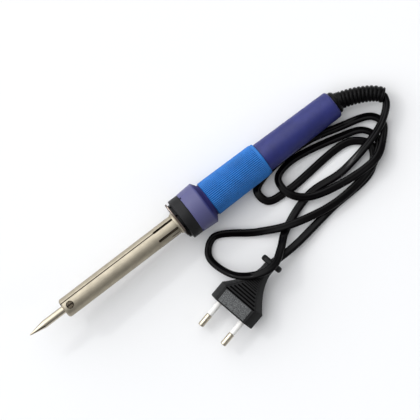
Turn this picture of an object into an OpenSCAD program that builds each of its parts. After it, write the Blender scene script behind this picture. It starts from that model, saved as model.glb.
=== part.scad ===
// Mains soldering iron with a screwed-in bit, slotted barrel, ribbed grip,
// flat twin cord and flat two-pin plug. Millimetres, +Z up, lying on a table.

/* [Bit] */
// Diameter of the bit's shank
bit_d = 5; // [4.8:0.1:5.1]
// Length of the bit's cone
bit_cone = 11; // [9:0.5:13]
// Length of bit that shows in front of the barrel
bit_reach = 26.3; // [24:0.1:30]
// Length of bit held inside the barrel
bit_held = 46; // [42:1:50]

/* [Barrel] */
// Outer diameter of the barrel
barrel_d = 13; // [12.8:0.1:13.4]
// Barrel length from its closed front to the flange
barrel_l = 89; // [88:0.5:92]
// Wall thickness of the barrel tube
barrel_wall = 0.6; // [0.5:0.1:0.7]
// Number of vent slots
slot_count = 6; // [4:1:6]
// Length of a vent slot
slot_l = 15; // [12:1:16]
// Width of a vent slot
slot_w = 1.7; // [1.4:0.1:1.8]
// Width of the rolled tube's seam
seam_w = 0.3; // [0.2:0.05:0.4]

/* [Set screw] */
// Diameter of the screw that locks the bit
screw_d = 4.8; // [4.4:0.1:5]
// Distance of the screw behind the barrel's front
screw_back = 5; // [4:0.1:6]

/* [Flange and collar] */
// Thickness of the flange plate
plate_t = 1; // [0.8:0.1:1.2]
// Radius to the tip of a flange lobe
lobe_r = 13.7; // [13.2:0.1:13.9]
// Radius of the circle that the flange screws lie on
screw_circle = 10.2; // [10:0.1:10.4]
// Diameter of the black front ring
ring_d = 28; // [27.6:0.1:28.2]
// Diameter of the handle's collar at its rear rim
collar_d = 29.6; // [29:0.1:30]

/* [Grip and handle] */
// Grip diameter at its front
grip_d = 23.7; // [23.4:0.1:24]
// Number of ribs round the grip
grip_ribs = 60; // [52:4:72]
// Height of a grip rib
rib_h = 0.4; // [0.3:0.05:0.5]
// Handle diameter just behind the grip
handle_d = 19.8; // [19.6:0.1:20]
// Handle diameter at its rear end
handle_end_d = 18.3; // [18:0.1:18.6]

/* [Cord] */
// Width of the flat twin cord
cord_w = 5.2; // [5:0.1:5.2]
// Thickness of the flat twin cord
cord_t = 3.2; // [3:0.1:3.2]
// Radius of the strain relief behind the handle
relief_r = 5.7; // [5.5:0.1:5.9]
// Radius of the strain relief at its mouth
relief_tip_r = 5; // [4.6:0.1:5.2]

/* [Plug] */
// Width of the plug's body
plug_w = 33.6; // [33:0.1:34.5]
// Height of the plug's body
plug_h = 13.7; // [13.4:0.1:14]
// Diameter of a plug pin
pin_d = 4; // [3.9:0.05:4.1]
// Length of a pin in front of the plug's face
pin_l = 19; // [18.5:0.1:19.5]
// Distance between the two pins
pin_pitch = 18.6; // [18.4:0.1:19]
// Tilt of the plug about its own length
plug_roll = 10; // [8:1:12]

/* [Hidden] */

round_fn = 96;
small_fn = 32;
gap = 0.05;                 // free space between parts that are fixed together
running = 0.08;             // radial clearance of the bit and of its screw

// Stations along the iron, measured from the tip of the bit
front_u = bit_reach;
flange_u = front_u + barrel_l;
ring_u = flange_u + plate_t;
hub_h = 1.8;                // height of the castellated hub on the front ring
ring_back_u = ring_u + 8.6;
rim_u = ring_back_u + 11;   // rear rim of the collar, one of the two rests
neck_u = rim_u + 2.1;
grip_u = neck_u + 1.3;
grip_l = 42.4;
shoulder_u = grip_u + grip_l + 0.4;
end_u = shoulder_u + 56.3;  // rear end of the handle
end_round = 1.8;
nose_round = 2;

barrel_r = barrel_d / 2;
barrel_bore = barrel_r - barrel_wall;
bit_r = bit_d / 2;
rim_r = collar_d / 2;
end_r = handle_end_d / 2;
seat_r = 9.55;              // handle under the grip
handle_bore = 7.4;
relief_bore = 6.2;          // hole in the handle's rear end
relief_step_u = end_u - 5.75;

// The iron lies on the rear rim of its collar and on its rear end
tilt = atan((rim_r - end_r) / (end_u - end_round - rim_u));
tip_z = sin(tilt) * rim_u + cos(tilt) * rim_r;
mid_x = (cos(tilt) * end_u + sin(tilt) * (end_r - end_round)) / 2;

// Carries a part drawn with +Z along the iron, from tip to cord, and +X upwards
module in_iron() {
    translate([-mid_x, 0, tip_z]) rotate([0, tilt, 0])
        rotate([0, 90, 0]) rotate([0, 0, 180]) children();
}

// A solid of revolution from points given as [radius, station]
module turned(points, fn = round_fn) {
    rotate_extrude($fn = fn) polygon(points);
}

// A tube between two stations
module pipe(outer, inner, from, to, fn = round_fn) {
    turned([[inner, from], [outer, from], [outer, to], [inner, to]], fn);
}

// A rod between two stations
module rod(r, from, to, fn = small_fn) {
    translate([0, 0, from]) cylinder(r = r, h = to - from, $fn = fn);
}

// Points of an arc in [radius, station]
function arc(centre, r, start, end, steps = 6) =
    [for (i = [0:steps]) let (a = start + (end - start) * i / steps)
        centre + r * [cos(a), sin(a)]];

// ---- Sweeps --------------------------------------------------------------

function unit(v) = v / norm(v);
function chord(a, b) = sqrt(max(norm([b[0] - a[0], b[1] - a[1]]), 0.001));

// Centripetal curve through b and c, with its neighbours a and d, at t from 0 to 1
function curve(a, b, c, d, t) =
    let (t1 = chord(a, b), t2 = t1 + chord(b, c), t3 = t2 + chord(c, d), s = t1 + (t2 - t1) * t,
        p = a * (t1 - s) / t1 + b * s / t1,
        q = b * (t2 - s) / (t2 - t1) + c * (s - t1) / (t2 - t1),
        r = c * (t3 - s) / (t3 - t2) + d * (s - t2) / (t3 - t2),
        m = p * (t2 - s) / t2 + q * s / t2,
        n = q * (t3 - s) / (t3 - t1) + r * (s - t1) / (t3 - t1))
    m * (t2 - s) / (t2 - t1) + n * (s - t1) / (t2 - t1);

// The route with one point added before its start and one after its end
function extended(route) =
    let (last = len(route) - 1)
    concat([2 * route[0] - route[1]], route, [2 * route[last] - route[last - 1]]);

function smooth(route, steps) =
    let (p = extended(route))
    concat([for (i = [1:len(p) - 3], k = [0:steps - 1])
        curve(p[i - 1], p[i], p[i + 1], p[i + 2], k / steps)], [route[len(route) - 1]]);

// A closed tube through the centres; sections[i] is its outline at centres[i],
// turned by rolls[i] about the centre line
module tube(centres, sections, rolls) {
    last = len(centres) - 1;
    sides = len(sections[0]);
    points = [for (i = [0:last])
        let (ahead = centres[min(i + 1, last)] - centres[max(i - 1, 0)], t = unit(ahead),
            side = unit(cross([0, 0, 1], t)), up = cross(t, side),
            wide = side * cos(rolls[i]) + up * sin(rolls[i]),
            thin = up * cos(rolls[i]) - side * sin(rolls[i]))
        for (s = sections[i]) centres[i] + wide * s[0] + thin * s[1]];
    walls = [for (i = [0:last - 1], k = [0:sides - 1])
        let (a = i * sides + k, b = i * sides + (k + 1) % sides)
        each [[a, a + sides, b], [b, a + sides, b + sides]]];
    first_end = [for (k = [0:sides - 1]) k];
    last_end = [for (k = [0:sides - 1]) last * sides + sides - 1 - k];
    polyhedron(points, concat(walls, [first_end, last_end]));
}

// A ring of points round the origin
function ring(r, sides) =
    [for (k = [0:sides - 1]) let (a = (k + 0.5) * 360 / sides) r * [cos(a), sin(a)]];

// ---- Bit and barrel ------------------------------------------------------

module bit() {
    color("silver") in_iron() turned(concat(
        [[0, 0], [0.25, 0.12], [0.42, 0.6], [bit_r - 0.1, bit_cone - 0.25], [bit_r, bit_cone + 0.3]],
        [[bit_r, front_u + bit_held - 0.5], [bit_r - 0.5, front_u + bit_held], [0, front_u + bit_held]]));
}

// The screw's axis, pointing out of the barrel on its upper side
module at_screw() {
    translate([0, 0, front_u + screw_back]) rotate([0, 90, 0]) children();
}

screw_low = bit_r + 0.1;
screw_high = barrel_r - 1.4;
screw_slot = [0.8, 0.9];    // width and depth of the screwdriver slot

module set_screw() {
    color("darkgray") in_iron() at_screw() difference() {
        turned([[0, screw_low], [screw_d / 2 - 0.4, screw_low], [screw_d / 2, screw_low + 0.4],
            [screw_d / 2, screw_high - 0.3], [screw_d / 2 - 0.3, screw_high], [0, screw_high]], small_fn);
        translate([-screw_d, -screw_slot[0] / 2, screw_high - screw_slot[1]])
            cube([2 * screw_d, screw_slot[0], 2]);
    }
}

seam_angle = -36;           // the tube's seam runs through the first slot
slot_u = flange_u - 16.6;
slit_angle = 52;            // one narrow slit beside the second slot
slit = [0.5, 6];            // its width and length
lip_r = barrel_r + 0.8;     // rolled lip that holds the flange plate
neck_l = 1.6;               // the flange plate's drawn neck grips the barrel
neck_end_u = flange_u - neck_l - 0.3;
barrel_step = 0.25;         // the barrel is a little thinner under that neck

module barrel() {
    color("gainsboro") in_iron() difference() {
        turned(concat([[bit_r + 0.25, front_u]],
            arc([barrel_r - nose_round, front_u + nose_round], nose_round, -90, 0),
            [[barrel_r, neck_end_u], [barrel_r - barrel_step, neck_end_u],
            [barrel_r - barrel_step, ring_u + gap], [lip_r, ring_u + gap],
            [lip_r, ring_u + 0.6], [barrel_bore, ring_u + 0.6]],
            arc([barrel_r - nose_round, front_u + nose_round], nose_round - barrel_wall, 0, -90),
            [[bit_r + 0.25, front_u + barrel_wall]]));
        at_screw() cylinder(r = screw_d / 2 + running, h = barrel_d, $fn = small_fn);
        for (i = [0:slot_count - 1]) rotate([0, 0, seam_angle + i * 360 / slot_count])
            translate([0, 0, slot_u]) vent_slot();
        rotate([0, 0, slit_angle]) translate([barrel_bore - 1, -slit[0] / 2, neck_end_u - slit[1]])
            cube([3, slit[0], slit[1]]);
        rotate([0, 0, seam_angle]) translate([barrel_r - 0.25, -seam_w / 2, front_u + nose_round])
            cube([1, seam_w, slot_u - front_u - nose_round]);
    }
}

// A round-ended cutter, long along Z, that reaches outwards along X
module vent_slot() {
    r = slot_w / 2;
    translate([barrel_bore - 1, 0, 0]) {
        translate([0, -r, r]) cube([3, slot_w, slot_l - slot_w]);
        for (z = [r, slot_l - r]) translate([0, 0, z]) rotate([0, 90, 0]) cylinder(r = r, h = 3, $fn = 24);
    }
}

bush_end_u = front_u + 12;

module nose_bush() {
    color("darkgray") in_iron() difference() {
        turned(concat([[bit_r + running, front_u + barrel_wall + gap]],
            arc([barrel_r - nose_round, front_u + nose_round], nose_round - barrel_wall - gap, -90, 0),
            [[barrel_bore - gap, bush_end_u], [bit_r + running, bush_end_u]]));
        at_screw() cylinder(r = screw_d / 2 + running, h = barrel_d, $fn = small_fn);
    }
}

// ---- Flange and its screws -----------------------------------------------

lobe_angle = -78;           // the first of three lobes

module on_lobes() {
    for (i = [0:2]) rotate([0, 0, lobe_angle + i * 120]) translate([screw_circle, 0, 0]) children();
}

module flange_plate() {
    color("lightgray") in_iron() difference() {
        union() {
            translate([0, 0, flange_u]) linear_extrude(plate_t) hull() {
                circle(r = barrel_r + 2.6, $fn = small_fn);
                on_lobes() circle(r = lobe_r - screw_circle, $fn = small_fn);
            }
            turned(concat([[barrel_r - 1, flange_u - neck_l]],
                arc([barrel_r + 0.5 + neck_l, flange_u - neck_l], neck_l, 180, 90),
                [[barrel_r - 1, flange_u]]));
        }
        rod(barrel_r - barrel_step + gap, flange_u - 5, flange_u + 5, round_fn);
        on_lobes() turned([[0, flange_u - 1], [2.5, flange_u - 1], [2.5, flange_u], [1.4, ring_u],
            [1.4, ring_u + 1], [0, ring_u + 1]], small_fn);
    }
}

thread_r = 1.2;
screw_end_u = ring_u + 20;

module flange_screws() {
    head_r = 2.3;
    color("silver") in_iron() on_lobes() difference() {
        turned([[0, flange_u + 0.1], [head_r, flange_u + 0.1], [thread_r, ring_u + 0.1],
            [thread_r, screw_end_u - 2], [0, screw_end_u]], small_fn);
        for (a = [0, 90]) translate([0, 0, flange_u]) rotate([0, 0, a]) cube([2.4, 0.5, 1.2], center = true);
    }
}

// ---- Heater --------------------------------------------------------------

heater_u = bush_end_u + 4;  // front of the winding's insulation
heater_end_u = front_u + 63;
former_r = 2.95;
winding_pitch = 0.8;
winding_turns = 50;

module heater_former() {
    color("gray") in_iron() pipe(former_r, bit_r + running, bush_end_u + gap, heater_end_u + 2);
}

module inner_mica() {
    color("wheat") in_iron() pipe(former_r + 0.2, former_r + 0.02, heater_u, heater_end_u);
}

// Turns of resistance wire, wound close on the inner mica
module heater_winding() {
    low = former_r + 0.22;
    start = heater_u + 2;
    end = start + winding_turns * winding_pitch;
    color("dimgray") in_iron() turned(concat([[low, start]],
        [for (i = [0:winding_turns - 1]) let (u = start + i * winding_pitch) each [[low + 0.15, u],
            [low + 0.4, u + 0.25 * winding_pitch], [low + 0.4, u + 0.75 * winding_pitch]]],
        [[low + 0.15, end], [low, end]]), small_fn);
}

module outer_mica() {
    color("tan") in_iron() pipe(former_r + 0.9, former_r + 0.65, heater_u, heater_end_u);
}

module front_insulator() {
    color("ivory") in_iron() pipe(barrel_bore - gap, former_r + gap, bush_end_u + 0.1, heater_u - 0.1);
}

lead_y = 3.38;              // the two leads run this far from the axis
lead_r = 0.18;
block_u = neck_u + 13;      // front of the terminal block

module on_leads() {
    for (side = [-1, 1]) translate([0, side * lead_y, 0]) children();
}

module rear_insulator() {
    color("ivory") in_iron() difference() {
        pipe(barrel_bore - gap, former_r - 0.2, heater_end_u + 2.1, heater_end_u + 6);
        on_leads() rod(lead_r + 0.1, heater_end_u, heater_end_u + 8);
    }
}

module heater_leads() {
    color("silver") in_iron() on_leads()
        rod(lead_r, heater_u + 2 + winding_turns * winding_pitch + gap, block_u + 6);
}

module lead_sleeves() {
    color("white") in_iron() on_leads() pipe(1.1, lead_r + gap, heater_end_u + 6.2, block_u - 0.5, small_fn);
}

// ---- Ring, handle and grip -----------------------------------------------

module front_ring() {
    hub_r = 12;
    lugs = 9;
    spigot = 2;             // part of the ring that sits inside the collar
    color([0.16, 0.16, 0.16]) in_iron() difference() {
        turned([[lip_r + 0.3, ring_u], [hub_r - 0.3, ring_u], [hub_r, ring_u + 0.3], [hub_r, ring_u + hub_h],
            [ring_d / 2 - 0.5, ring_u + hub_h], [ring_d / 2, ring_u + hub_h + 0.5],
            [ring_d / 2, ring_back_u - 0.1], [11.5, ring_back_u - 0.1],
            [11.5, ring_back_u + spigot], [lip_r + 0.3, ring_back_u + spigot]]);
        for (i = [0:lugs - 1]) rotate([0, 0, lobe_angle + (i + 0.5) * 360 / lugs])
            translate([lip_r + 1.2, -0.7, ring_u - 1]) cube([10, 1.4, hub_h + 0.6]);
        on_lobes() rod(thread_r + 0.15, ring_u - 1, ring_back_u + 5);
    }
}

module handle() {
    wall_back_u = ring_back_u + 13;
    recess = 2.1;
    cable_hole = 5.5;
    color([0.33, 0.32, 0.58]) in_iron() difference() {
        turned(concat(
            [[cable_hole, ring_back_u + recess], [11.6, ring_back_u + recess], [11.6, ring_back_u],
            [ring_d / 2 + 0.1, ring_back_u], [rim_r, rim_u], [rim_r - 0.15, rim_u + 0.3], [11.95, neck_u],
            [11.2, neck_u], [11.2, grip_u - 0.1], [seat_r, grip_u - 0.1], [seat_r, shoulder_u - 0.2],
            [handle_d / 2 - 0.2, shoulder_u - 0.2], [handle_d / 2, shoulder_u]],
            arc([end_r - end_round, end_u - end_round], end_round, 0, 90),
            [[relief_bore, end_u], [relief_bore, relief_step_u], [handle_bore, relief_step_u],
            [handle_bore, wall_back_u + 2], [cable_hole, wall_back_u]]));
        on_lobes() rod(thread_r + gap, ring_back_u, screw_end_u + 1);
        for (i = [0:2]) rotate([0, 0, -50 + i * 120]) translate([ring_d / 2 - 1, -1, ring_back_u - 1])
            cube([4, 2, 2.1]);
    }
}

// Outline of the grip with its ribs, for an outer radius r
module rib_outline(r) {
    step = 360 / grip_ribs;
    polygon([for (i = [0:grip_ribs - 1]) each
        [for (k = [[0, 0], [0.25, 1], [0.75, 1]])
            (r - rib_h * (1 - k[1])) * [cos((i + k[0]) * step), sin((i + k[0]) * step)]]]);
}

module grip_sleeve() {
    front_r = grip_d / 2;
    rear_r = front_r - 0.5;
    band = 1.5;             // plain band at the rear, where the ribs stop
    ribbed = grip_l - band;
    color([0.2, 0.47, 0.8]) in_iron() difference() {
        union() {
            translate([0, 0, grip_u]) linear_extrude(ribbed, scale = rear_r / front_r) rib_outline(front_r);
            turned([[seat_r, grip_u + ribbed - 0.1], [rear_r - rib_h, grip_u + ribbed - 0.1],
                [rear_r - rib_h - 0.1, grip_u + grip_l - 0.5],
                [rear_r - rib_h - 0.6, grip_u + grip_l], [seat_r, grip_u + grip_l]]);
        }
        rod(seat_r + gap, grip_u - 1, grip_u + grip_l + 1, round_fn);
    }
}

// ---- Inside the handle ---------------------------------------------------

block_l = 16;
pole_r = 1.5;

// The four clamping places of the terminal block
module on_poles() {
    on_leads() for (u = [block_u + 3.5, block_u + block_l - 3.5])
        translate([0, 0, u]) rotate([0, 90, 0]) children();
}

module terminal_block() {
    color("ivory") in_iron() difference() {
        translate([-3.5, -5.4, block_u]) cube([7, 10.8, block_l]);
        on_leads() rod(pole_r + gap, block_u - 1, block_u + block_l + 1);
        on_poles() cylinder(r = 1.15, h = 6, $fn = small_fn);
        translate([1, -0.8, block_u + block_l / 2 - 3]) cube([4, 1.6, 6]);
    }
}

module terminal_tubes() {
    color("gold") in_iron() difference() {
        on_leads() pipe(pole_r, 1, block_u + 1, block_u + block_l - 1, small_fn);
        on_poles() cylinder(r = 0.8, h = 3, $fn = small_fn);
    }
}

module terminal_screws() {
    color("silver") in_iron() on_poles() difference() {
        turned([[0, 0.95], [0.75, 0.95], [0.75, 1.9], [1.1, 1.9], [1.1, 3], [0, 3]], small_fn);
        translate([-2, -0.2, 2.4]) cube([4, 0.4, 1]);
    }
}

tail_u = block_u + block_l + 38;    // where the cord's sheath begins

// Two insulated cores, each with a bare end in the terminal block
module cord_cores() {
    bare_u = block_u + block_l + 0.5;
    for (side = [-1, 1]) color(side < 0 ? "saddlebrown" : "royalblue") in_iron() {
        translate([0, side * lead_y, 0]) rod(0.6, bare_u - 7.5, bare_u + gap);
        rotate([0, -90, 0]) core_bend(side, bare_u);
    }
}

// The insulated stretch, drawn with +X along the iron
module core_bend(side, from) {
    span = tail_u - from;
    places = [for (t = [0, 0.15, 0.5, 0.85, 1]) [from + span * t,
        side * (1.3 + (lead_y - 1.3) * (1 + cos(180 * t)) / 2), 0]];
    tube(places, [for (p = places) ring(1, 8)], [for (p = places) 0]);
}

// The sheathed end of the cord inside the handle
module cord_tail() {
    color([0.08, 0.08, 0.08]) in_iron() translate([0, 0, tail_u]) linear_extrude(relief_step_u - 3 - tail_u)
        stadium(cord_w, cord_t);
}

module stadium(w, t) {
    square([t, w - t], center = true);
    for (side = [-1, 1]) translate([0, side * (w - t) / 2]) circle(d = t, $fn = small_fn);
}

module cord_clip() {
    color("silver") in_iron() translate([0, 0, relief_step_u - 13]) linear_extrude(5) difference() {
        stadium(cord_w + 2, cord_t + 2);
        stadium(cord_w + 2 * gap, cord_t + 2 * gap);
    }
}

// ---- Cord ----------------------------------------------------------------

// Centre line of the strain relief, from inside its base to its mouth: [x, y, z]
relief_route = [[120.4, 0, 9], [126, -1.7, 8.9], [131, -3.6, 8.9], [136, -6, 8.9], [141, -9, 9],
    [144.6, -12, 9], [147, -15, 9]];
relief_base = 3;            // length of the ring that seats against the handle
relief_lip = 0.8;           // rounding of the relief's mouth

module strain_relief() {
    places = smooth(relief_route, 3);
    last = len(places) - 1;
    color([0.1, 0.1, 0.1]) {
        in_iron() turned([[0, relief_step_u - 3], [7, relief_step_u - 3], [7, relief_step_u - gap],
            [relief_bore - gap, relief_step_u - gap], [relief_bore - gap, end_u + gap],
            [7.4, end_u + gap], [7.4, end_u + 1.6], [relief_r + 0.7, end_u + relief_base],
            [0, end_u + relief_base]]);
        tube(places, [for (i = [0:last]) ring((i == last ? -relief_lip : 0)
            + relief_r + (relief_tip_r - relief_r) * i / last, 12)], [for (i = [0:last]) 0]);
    }
}

// The cord's route from the mouth of the strain relief to the plug:
// [x, y, height of its underside, angle its width is tipped up by]
cord_route = [
    [147, -15, 6.6, 50], [145, -20, 6.3, 40], [133.5, -28.5, 5.7, 40], [99, -37, 0.4, 20],
    [72, -36, 0.2, 5], [46, -45.5, 1.3, 15], [37.5, -52, 8.4, 10], [27.5, -57.5, 14.8, 5],
    [15, -55.5, 14.6, 30], [3, -46, 6.6, 50], [-1.5, -29, 1.2, 45], [8, -21, 0.2, 45],
    [32, -35, 0.6, 20], [50, -43.5, 5, 0], [82, -50, 3.5, 20], [110, -47, 3.6, 0], [121, -42, 3.1, 15],
    [128, -34, 0.3, 45], [124, -24.5, 0.1, 50], [110, -19, 0, 35], [74, -12.5, 1.6, 45],
    [62.5, -16.5, 2.7, 45], [62.5, -28, 4.1, 20], [73, -38, 3.6, 20], [118, -43.5, 7.2, 5],
    [130, -36.5, 4.3, 40], [136.5, -28, 1, 35], [133, -20.5, 0.4, 35], [112, -13.5, 0, 15],
    [88, -8, 0, 0], [57.5, -9.5, 0, 0], [47.5, -14.5, 0, 20], [49, -23.5, 0, 15], [64, -26, 0, 0],
    [112.5, -25, 0, 15], [122, -35, 0, 0], [112.5, -47.5, 0, 0], [78, -51.5, 0.2, 5],
    [46, -56, 2.6, 25], [27, -56.2, 8.4, 10]
];

// Outline of the flat twin cord
cord_outline = [for (p = ring(cord_t / 2 / cos(22.5), 8)) p + [sign(p[0]) * (cord_w - cord_t) / 2, 0]];

// Height of the centre line over the underside, at a tip angle
function reach(a) = max([for (p = cord_outline) abs(p[0] * sin(a) + p[1] * cos(a))]);

module cord() {
    way = smooth(cord_route, 2);
    color([0.07, 0.07, 0.07]) tube([for (p = way) [p[0], p[1], max(p[2], 0) + reach(p[3])]],
        [for (p = way) cord_outline], [for (p = way) p[3]]);
}

// ---- Plug ----------------------------------------------------------------

plug_face = [-11.5, -64.8];
plug_yaw = 192.6;
plug_pitch = 2;             // the pins point a little down
plug_straight = 11;         // length of the body before it narrows
plug_taper = 24;
plug_neck = [8, 7];         // width and height of the neck
plug_body_l = 38.6;
wing_w = 15;                // the pair of wings at the body's rear
wing_l = 3.8;
wing_back = plug_body_l + 2.9;
// Rows of grooves behind the label plate: count, pitch, width, depth
coarse = [5, 2, 1.05, 0.9];
fine = [14, 1.25, 0.6, 0.65];
coarse_s = 9.95;

// Share of the bevelled sides in the body's width
bevel = 0.67;
function narrowing(s) = 1 - min(max((s - plug_straight) / plug_taper, 0), 1);
function plug_width(s) = plug_neck[0] + (plug_w - plug_neck[0]) * pow(narrowing(s), 1.8);
function plug_height(s) = plug_neck[1] + (plug_h - plug_neck[1]) * pow(narrowing(s), 1.2);
function plug_flat(s) = plug_width(s) - bevel * plug_height(s);

// Height of the face's centre, with the lower front corner on the table
plug_z = cos(plug_pitch) * (cos(plug_roll) * plug_h / 2 + sin(plug_roll) * plug_flat(0) / 2);

// Carries a part drawn with +Z along the pins and +X upwards
module in_plug() {
    translate([plug_face[0], plug_face[1], plug_z]) rotate([0, 0, plug_yaw])
        rotate([0, 90 + plug_pitch, 0]) rotate([0, 0, 180 + plug_roll]) children();
}

module on_pins() {
    for (side = [-1, 1]) translate([0, side * pin_pitch / 2, 0]) children();
}

// Six-sided outline of the body at a distance behind the face, corners eased
function plug_outline(s) =
    let (w = plug_width(s) / 2, f = plug_flat(s) / 2, h = plug_height(s) / 2,
        c = [[w, 0], [f, h], [-f, h], [-w, 0], [-f, -h], [f, -h]])
    [for (i = [0:5]) each let (a = c[(i + 5) % 6], b = c[i], d = c[(i + 1) % 6])
        [b + 0.5 * unit(a - b), b + 0.5 * unit(d - b)]];

insert_l = 9.5;
tail_l = 13;                // pin tails reach this far behind the face
core_r = 1;
sleeve_l = 9.9;             // insulating sleeve on the front of each pin
sleeve_depth = 3;
sleeve_r = 1.84;
pin_core_r = 1.4;           // the pin is thinner under its sleeve

module plug_insert_shape(room) {
    size = [7, 24, insert_l];
    translate([-size[0] / 2 - room, -size[1] / 2 - room, -insert_l - room])
        cube(size + [2 * room, 2 * room, room]);
}

// The two cores between the pin tails and the cord
module plug_core_rods(room) {
    spread = (pin_pitch - 2.4) / 2;
    run = 20;
    for (side = [-1, 1]) translate([0, side * pin_pitch / 2, -tail_l - 0.5])
        rotate([180 - side * atan(spread / run), 0, 0])
            rod(core_r + room, -room, norm([spread, run]) + room);
}

// A row of grooves across both flat sides, from a distance behind the face
module grooves(start, row) {
    wide = row[2];
    for (side = [-1, 1], i = [0:row[0] - 1])
        let (s = start + i * row[1], top = plug_height(s + wide / 2) / 2)
        translate([side * (top - row[3] + 1.5), 0, -s - wide / 2])
            cube([3, plug_flat(s + wide) - 1.1, wide], center = true);
}

module plug_body() {
    stations = [plug_body_l, 35, 31, 27.5, 24, 21, 18, 15.5, 13, plug_straight, 0];
    plate = [8.7, 20.7, 0.25];
    color([0.13, 0.13, 0.13]) in_plug() difference() {
        union() {
            rotate([0, -90, 0]) tube([for (s = stations) [-s, 0, 0]],
                [for (s = stations) plug_outline(s)], [for (s = stations) 0]);
            translate([0, 0, -wing_back]) linear_extrude(wing_l) stadium(wing_w, 8);
            translate([plug_h / 2 - 1, -plate[1] / 2, -plate[0] - 1])
                cube([1 + plate[2], plate[1], plate[0]]);
        }
        grooves(coarse_s, coarse);
        grooves(coarse_s + coarse[0] * coarse[1], fine);
        translate([0, 0, 0.05]) plug_insert_shape(gap);
        on_pins() rod(pin_core_r + gap, -tail_l - gap - 0.4, -insert_l);
        plug_core_rods(gap);
    }
}

module plug_insert() {
    color([0.1, 0.1, 0.1]) in_plug() difference() {
        plug_insert_shape(0);
        on_pins() rod(sleeve_r + gap, -sleeve_depth - gap, 1);
        on_pins() rod(pin_core_r + gap, -insert_l - 1, 0);
    }
}

module plug_pins() {
    tip = 0.9;
    color("silver") in_plug() on_pins() turned(concat(
        [[0, -tail_l], [pin_core_r, -tail_l], [pin_core_r, sleeve_l + gap], [pin_d / 2, sleeve_l + gap]],
        arc([pin_d / 2 - tip, pin_l - tip], tip, 0, 90), [[0, pin_l]]), 48);
}

module pin_sleeves() {
    color("white") in_plug() on_pins() pipe(sleeve_r, pin_core_r + gap, -sleeve_depth, sleeve_l, 48);
}

module plug_cores() {
    color("saddlebrown") in_plug() plug_core_rods(0);
}

bit();
set_screw();
barrel();
nose_bush();
flange_plate();
flange_screws();
heater_former();
inner_mica();
heater_winding();
outer_mica();
front_insulator();
rear_insulator();
heater_leads();
lead_sleeves();
front_ring();
handle();
grip_sleeve();
terminal_block();
terminal_tubes();
terminal_screws();
cord_cores();
cord_tail();
cord_clip();
strain_relief();
cord();
plug_body();
plug_insert();
plug_pins();
pin_sleeves();
plug_cores();
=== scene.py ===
"""Looks of the soldering iron: rebuilt visible pieces, materials, light and camera."""

import math

import bmesh
import bpy
import numpy as np
from mathutils import Matrix, Vector


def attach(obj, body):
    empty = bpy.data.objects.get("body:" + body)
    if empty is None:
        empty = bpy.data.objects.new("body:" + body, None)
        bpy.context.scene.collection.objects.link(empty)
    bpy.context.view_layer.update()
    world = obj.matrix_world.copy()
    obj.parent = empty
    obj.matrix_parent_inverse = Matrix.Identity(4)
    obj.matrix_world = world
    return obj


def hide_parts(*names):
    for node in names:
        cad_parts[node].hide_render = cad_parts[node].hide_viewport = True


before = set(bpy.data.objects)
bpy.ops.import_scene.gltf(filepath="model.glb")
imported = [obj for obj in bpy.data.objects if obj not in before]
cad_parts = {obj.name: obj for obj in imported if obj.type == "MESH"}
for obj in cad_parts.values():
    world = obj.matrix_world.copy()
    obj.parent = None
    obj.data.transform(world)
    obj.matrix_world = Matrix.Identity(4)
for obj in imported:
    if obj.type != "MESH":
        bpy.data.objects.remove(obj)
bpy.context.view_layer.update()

MM = 0.001
SHARP = 40                  # degrees between two faces, above which their edge is sharp

# ---- The iron's own measures, in mm, as in the CAD ---------------------------
BIT_R, BIT_CONE, FRONT = 2.5, 11.0, 26.3
BIT_HELD = 46.0
BARREL_R = 6.5
FLANGE = FRONT + 89.0
RING = FLANGE + 1.0
RING_BACK = RING + 8.6
RIM = RING_BACK + 11.0
NECK = RIM + 2.1
GRIP = NECK + 1.3
GRIP_L = 42.4
SHOULDER = GRIP + GRIP_L + 0.4
END = SHOULDER + 56.3
END_ROUND = 1.8
RING_R, RIM_R, GRIP_R, HANDLE_R, END_R = 14.0, 14.8, 11.85, 9.9, 9.15
SEAT_R = 9.55
GAP = 0.05                  # between two fixed pieces
# It lies on the collar's rim and the handle's rear end. Then come the height of its axis
# at the tip, and half its length as it lies.
TILT = math.atan((RIM_R - END_R) / (END - END_ROUND - RIM))
TIP_Z = math.sin(TILT) * RIM + math.cos(TILT) * RIM_R
MID_X = (math.cos(TILT) * END + math.sin(TILT) * (END_R - END_ROUND)) / 2


def iron(points):
    """Points drawn with +Z along the iron and +X upwards, placed in the row frame."""
    p = np.asarray(points, float)
    x, y, u = p[..., 0], p[..., 1], p[..., 2]
    c, s = math.cos(TILT), math.sin(TILT)
    return np.stack([-MID_X + u * c + x * s, -y, TIP_Z - u * s + x * c], axis=-1)


def in_place(shape):
    """A shape's verts through iron(), with its faces."""
    return iron(shape[0]), shape[1]


# ---- The cord's route, in mm, as in the CAD ----------------------------------
RELIEF_ROUTE = [(120.4, 0, 9), (126, -1.7, 8.9), (131, -3.6, 8.9), (136, -6, 8.9), (141, -9, 9),
                (144.6, -12, 9), (147, -15, 9)]
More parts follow.
